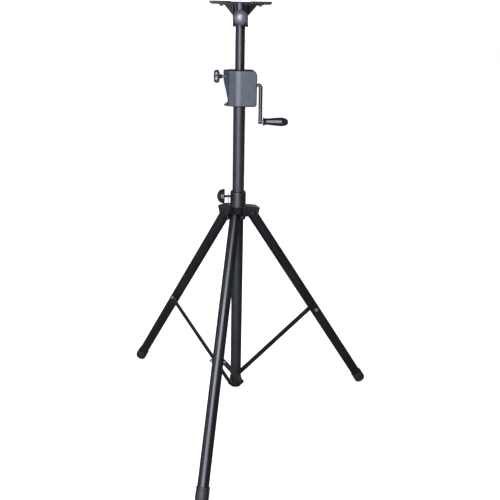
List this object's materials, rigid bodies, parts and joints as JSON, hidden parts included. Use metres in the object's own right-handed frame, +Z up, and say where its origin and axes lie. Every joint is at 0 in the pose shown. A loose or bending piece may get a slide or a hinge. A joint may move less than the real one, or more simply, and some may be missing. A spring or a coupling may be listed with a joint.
{
  "type": "crank-up speaker tripod stand",
  "caption": "Tripod stand with a crank winch that lifts a telescopic mast, folding braced legs, lock knobs and a flat bolt-on top plate.",
  "frame": {"origin": "on the floor, on the mast's vertical axis", "axes": "+Z up along the mast, +X towards the crank's grip, -Y towards the viewer of the front; the front leg points between -Y and -X"},
  "size_m": [1.0967, 1.0527, 1.647],
  "materials": {
    "black_powder_coat": "satin powder coat",
    "satin_mast_paint": "satin enamel",
    "case_plastic": "fine textured moulding",
    "crank_paint": "satin enamel",
    "gloss_black_plastic": "polished moulding",
    "grey_plastic": "satin moulding",
    "blackened_steel": "black oxide",
    "zinc_steel": "zinc plated",
    "machined_steel": "machined",
    "steel_rope": "stranded",
    "sintered_bronze": "sintered",
    "nylon": "moulded",
    "foot_rubber": "matt"
  },
  "bodies": {
    "column": {"column_tube": "black_powder_coat", "column_end_cap": "nylon", "bottom_collar": "black_powder_coat", "brace_pivot_bolts": "blackened_steel", "upper_bush": "nylon", "winch_front_cover": "case_plastic", "winch_rear_cover": "case_plastic", "cover_screws": "zinc_steel", "gear_frame": "machined_steel", "crank_bushes": "sintered_bronze", "winch_axles": "zinc_steel", "winch_cable": "steel_rope", "lift_cable": "steel_rope", "lock_boss": "machined_steel"},
    "hub": {"hub_collar": "black_powder_coat", "hub_liner": "nylon", "leg_bracket_front": "black_powder_coat", "leg_bracket_right": "black_powder_coat", "leg_bracket_left": "black_powder_coat", "leg_pivot_bolts": "blackened_steel", "lock_screw_tab": "black_powder_coat"},
    "mast": {"mast_tube": "satin_mast_paint", "mast_bush": "nylon"},
    "head": {"top_plate": "black_powder_coat", "adapter_socket": "black_powder_coat", "plate_bolts": "zinc_steel"},
    "drum": {"drum_wheel": "machined_steel", "cable_drum": "machined_steel", "cable_wraps": "steel_rope"},
    "roller": {"guide_roller": "nylon"},
    "crank": {"crank_arm": "crank_paint", "crank_pinion": "machined_steel", "grip_pin": "zinc_steel"},
    "grip": {"crank_grip": "gloss_black_plastic"},
    "hub_pad": {"hub_lock_pad": "sintered_bronze"},
    "hub_knob": {"hub_lock_screw": "blackened_steel", "hub_lock_knob": "gloss_black_plastic"},
    "mast_pad": {"mast_lock_pad": "sintered_bronze"},
    "mast_knob": {"mast_lock_screw": "zinc_steel", "mast_lock_knob": "gloss_black_plastic"},
    "head_pad": {"head_lock_pad": "sintered_bronze"},
    "head_knob": {"head_lock_screw": "zinc_steel", "head_lock_knob": "grey_plastic"},
    "leg_front": {"leg_tube_front": "black_powder_coat", "foot_front": "foot_rubber", "leg_bolt_front": "zinc_steel"},
    "brace_front": {"brace_front": "black_powder_coat", "brace_rivet_front": "zinc_steel"},
    "leg_right": {"leg_tube_right": "black_powder_coat", "foot_right": "foot_rubber", "leg_bolt_right": "zinc_steel"},
    "brace_right": {"brace_right": "black_powder_coat", "brace_rivet_right": "zinc_steel"},
    "leg_left": {"leg_tube_left": "black_powder_coat", "foot_left": "foot_rubber", "leg_bolt_left": "zinc_steel"},
    "brace_left": {"brace_left": "black_powder_coat", "brace_rivet_left": "zinc_steel"}
  },
  "joints": [
    {"name": "hub_slide", "type": "slide", "parent": "column", "child": "hub", "axis": [0, 0, 1], "range_m": [0, 0.25473]},
    {"name": "mast_lift", "type": "slide", "parent": "column", "child": "mast", "axis": [0, 0, 1], "range_m": [-0.14, 0.7], "deforming": ["lift_cable"]},
    {"name": "head_swivel", "type": "hinge", "parent": "mast", "child": "head", "pos_m": [0, 0, 1.594], "axis": [0, 0, 1], "continuous": true},
    {"name": "leg_fold_front", "type": "hinge", "parent": "hub", "child": "leg_front", "pos_m": [-0.01022, -0.05557, 0.8755], "axis": [0.9835, -0.1809, 0], "range_deg": [-0.05, 33.33]},
    {"name": "brace_fold_front", "type": "hinge", "parent": "column", "child": "brace_front", "pos_m": [0.0235, -0.01042, 0.1205], "axis": [-0.9835, 0.1809, 0], "range_deg": [-0.05, 44.18]},
    {"name": "leg_fold_right", "type": "hinge", "parent": "hub", "child": "leg_right", "pos_m": [0.05323, 0.01893, 0.8755], "axis": [-0.3351, 0.9422, 0], "range_deg": [-0.05, 33.33]},
    {"name": "brace_fold_right", "type": "hinge", "parent": "column", "child": "brace_right", "pos_m": [-0.00272, 0.02557, 0.1205], "axis": [0.3351, -0.9422, 0], "range_deg": [-0.05, 44.18]},
    {"name": "leg_fold_left", "type": "hinge", "parent": "hub", "child": "leg_left", "pos_m": [-0.04301, 0.03663, 0.8755], "axis": [-0.6484, -0.7613, 0], "range_deg": [-0.05, 33.33]},
    {"name": "brace_fold_left", "type": "hinge", "parent": "column", "child": "brace_left", "pos_m": [-0.02078, -0.01514, 0.1205], "axis": [0.6484, 0.7613, 0], "range_deg": [-0.05, 44.18]},
    {"name": "drum_turn", "type": "hinge", "parent": "column", "child": "drum", "pos_m": [0.036, 0.015, 1.3465], "axis": [1, 0, 0], "range_deg": [-535.76, 2674.8]},
    {"name": "crank_turn", "type": "hinge", "parent": "column", "child": "crank", "pos_m": [0.05, -0.009, 1.3645], "axis": [1, 0, 0], "range_deg": [-5348.61, 1070.52]},
    {"name": "roller_turn", "type": "hinge", "parent": "column", "child": "roller", "pos_m": [0.02475, 0, 1.388], "axis": [0, 1, 0], "range_deg": [-1315.99, 6575.93]},
    {"name": "grip_spin", "type": "hinge", "parent": "crank", "child": "grip", "pos_m": [0.13, -0.009, 1.2335], "axis": [1, 0, 0], "continuous": true},
    {"name": "hub_lock_feed", "type": "slide", "parent": "hub", "child": "hub_pad", "axis": [-1, 0, 0], "range_m": [0, 0.003]},
    {"name": "hub_lock_turn", "type": "hinge", "parent": "hub_pad", "child": "hub_knob", "pos_m": [-0.04, 0, 0.942], "axis": [-1, 0, 0], "range_deg": [-1, 721]},
    {"name": "mast_lock_feed", "type": "slide", "parent": "column", "child": "mast_pad", "axis": [-1, 0, 0], "range_m": [0, 0.003]},
    {"name": "mast_lock_turn", "type": "hinge", "parent": "mast_pad", "child": "mast_knob", "pos_m": [-0.06, 0, 1.393], "axis": [-1, 0, 0], "range_deg": [-1, 721]},
    {"name": "head_lock_feed", "type": "slide", "parent": "head", "child": "head_pad", "axis": [0, -1, 0], "range_m": [0, 0.003]},
    {"name": "head_lock_turn", "type": "hinge", "parent": "head_pad", "child": "head_knob", "pos_m": [0, -0.04, 1.594], "axis": [0, -1, 0], "range_deg": [-1, 721]}
  ],
  "couplings": [
    {"joint": "leg_fold_front", "follows": "hub_slide", "rad_per_m": 2.2803},
    {"joint": "brace_fold_front", "follows": "hub_slide", "rad_per_m": 3.0236},
    {"joint": "leg_fold_right", "follows": "hub_slide", "rad_per_m": 2.2803},
    {"joint": "brace_fold_right", "follows": "hub_slide", "rad_per_m": 3.0236},
    {"joint": "leg_fold_left", "follows": "hub_slide", "rad_per_m": 2.2803},
    {"joint": "brace_fold_left", "follows": "hub_slide", "rad_per_m": 3.0236},
    {"joint": "drum_turn", "follows": "mast_lift", "rad_per_m": 66.667},
    {"joint": "crank_turn", "follows": "mast_lift", "rad_per_m": -133.33},
    {"joint": "roller_turn", "follows": "mast_lift", "rad_per_m": 163.93},
    {"joint": "hub_lock_turn", "follows": "hub_lock_feed", "rad_per_m": 4188.8},
    {"joint": "mast_lock_turn", "follows": "mast_lock_feed", "rad_per_m": 4188.8},
    {"joint": "head_lock_turn", "follows": "head_lock_feed", "rad_per_m": 4188.8}
  ]
}
